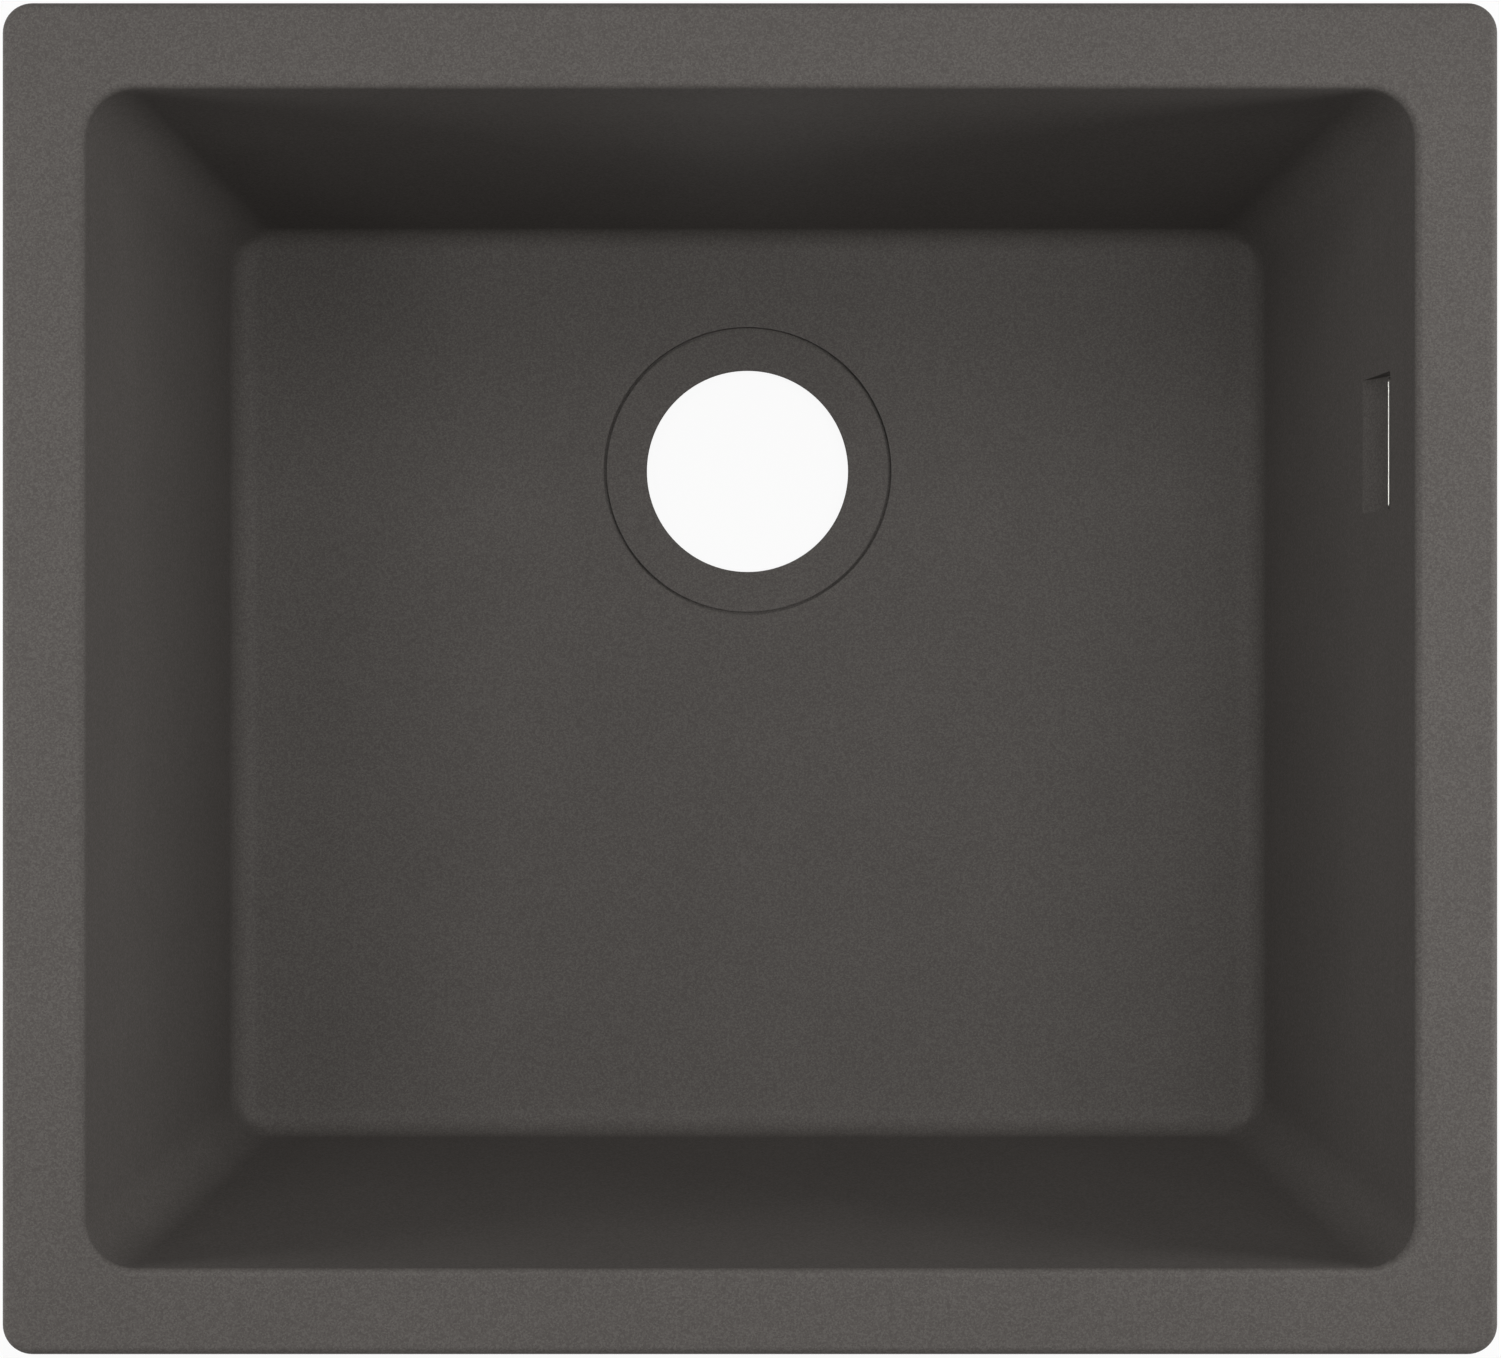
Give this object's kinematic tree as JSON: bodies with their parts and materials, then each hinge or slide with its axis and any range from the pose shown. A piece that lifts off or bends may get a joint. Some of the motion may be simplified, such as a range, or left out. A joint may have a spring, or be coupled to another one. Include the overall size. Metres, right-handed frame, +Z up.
{
  "type": "undermount kitchen sink",
  "caption": "Single-bowl undermount kitchen sink in moulded composite, with a slot overflow, an open waste outlet and swing brackets under its rim.",
  "frame": {"origin": "below the centre of the rim, on the plane of the underside", "axes": "+X to the right along the longer side, towards the overflow; +Y to the back, towards the outlet; +Z up"},
  "size_m": [0.5, 0.452, 0.2],
  "materials": {
    "composite": "matt fine-grained quartz composite, grey-brown, with a slight sheen",
    "stainless": "brushed stainless steel",
    "rubber": "matt black moulded rubber",
    "plastic": "dark grey moulded polypropylene, fine satin texture",
    "brass": "turned brass",
    "zinc": "bright zinc plate on steel"
  },
  "bodies": {
    "sink": {"basin": "composite", "overflow_sleeve": "stainless", "overflow_gasket": "rubber", "overflow_collector": "plastic", "overflow_insert_front": "brass", "overflow_screw_front": "stainless", "overflow_insert_back": "brass", "overflow_screw_back": "stainless", "front_left_insert": "brass", "front_left_washer": "zinc", "front_left_screw": "zinc", "front_right_insert": "brass", "front_right_washer": "zinc", "front_right_screw": "zinc", "back_left_insert": "brass", "back_left_washer": "zinc", "back_left_screw": "zinc", "back_right_insert": "brass", "back_right_washer": "zinc", "back_right_screw": "zinc", "left_front_insert": "brass", "left_front_washer": "zinc", "left_front_screw": "zinc", "left_back_insert": "brass", "left_back_washer": "zinc", "left_back_screw": "zinc", "right_front_insert": "brass", "right_front_washer": "zinc", "right_front_screw": "zinc", "right_back_insert": "brass", "right_back_washer": "zinc", "right_back_screw": "zinc"},
    "front_left_swing": {"front_left_bracket": "zinc"},
    "front_right_swing": {"front_right_bracket": "zinc"},
    "back_left_swing": {"back_left_bracket": "zinc"},
    "back_right_swing": {"back_right_bracket": "zinc"},
    "left_front_swing": {"left_front_bracket": "zinc"},
    "left_back_swing": {"left_back_bracket": "zinc"},
    "right_front_swing": {"right_front_bracket": "zinc"},
    "right_back_swing": {"right_back_bracket": "zinc"}
  },
  "joints": [
    {"name": "front_left_pivot", "type": "hinge", "parent": "sink", "child": "front_left_swing", "pos_m": [-0.15, -0.2154, 0.18045], "axis": [0, 0, 1], "range_deg": [0, 180]},
    {"name": "front_right_pivot", "type": "hinge", "parent": "sink", "child": "front_right_swing", "pos_m": [0.15, -0.2154, 0.18045], "axis": [0, 0, -1], "range_deg": [0, 180]},
    {"name": "back_left_pivot", "type": "hinge", "parent": "sink", "child": "back_left_swing", "pos_m": [-0.15, 0.2154, 0.18045], "axis": [0, 0, -1], "range_deg": [0, 180]},
    {"name": "back_right_pivot", "type": "hinge", "parent": "sink", "child": "back_right_swing", "pos_m": [0.15, 0.2154, 0.18045], "axis": [0, 0, 1], "range_deg": [0, 180]},
    {"name": "left_front_pivot", "type": "hinge", "parent": "sink", "child": "left_front_swing", "pos_m": [-0.2404, -0.14, 0.18045], "axis": [0, 0, -1], "range_deg": [0, 180]},
    {"name": "left_back_pivot", "type": "hinge", "parent": "sink", "child": "left_back_swing", "pos_m": [-0.2404, 0.14, 0.18045], "axis": [0, 0, 1], "range_deg": [0, 180]},
    {"name": "right_front_pivot", "type": "hinge", "parent": "sink", "child": "right_front_swing", "pos_m": [0.2404, -0.14, 0.18045], "axis": [0, 0, 1], "range_deg": [0, 180]},
    {"name": "right_back_pivot", "type": "hinge", "parent": "sink", "child": "right_back_swing", "pos_m": [0.2404, 0.14, 0.18045], "axis": [0, 0, -1], "range_deg": [0, 180]}
  ]
}
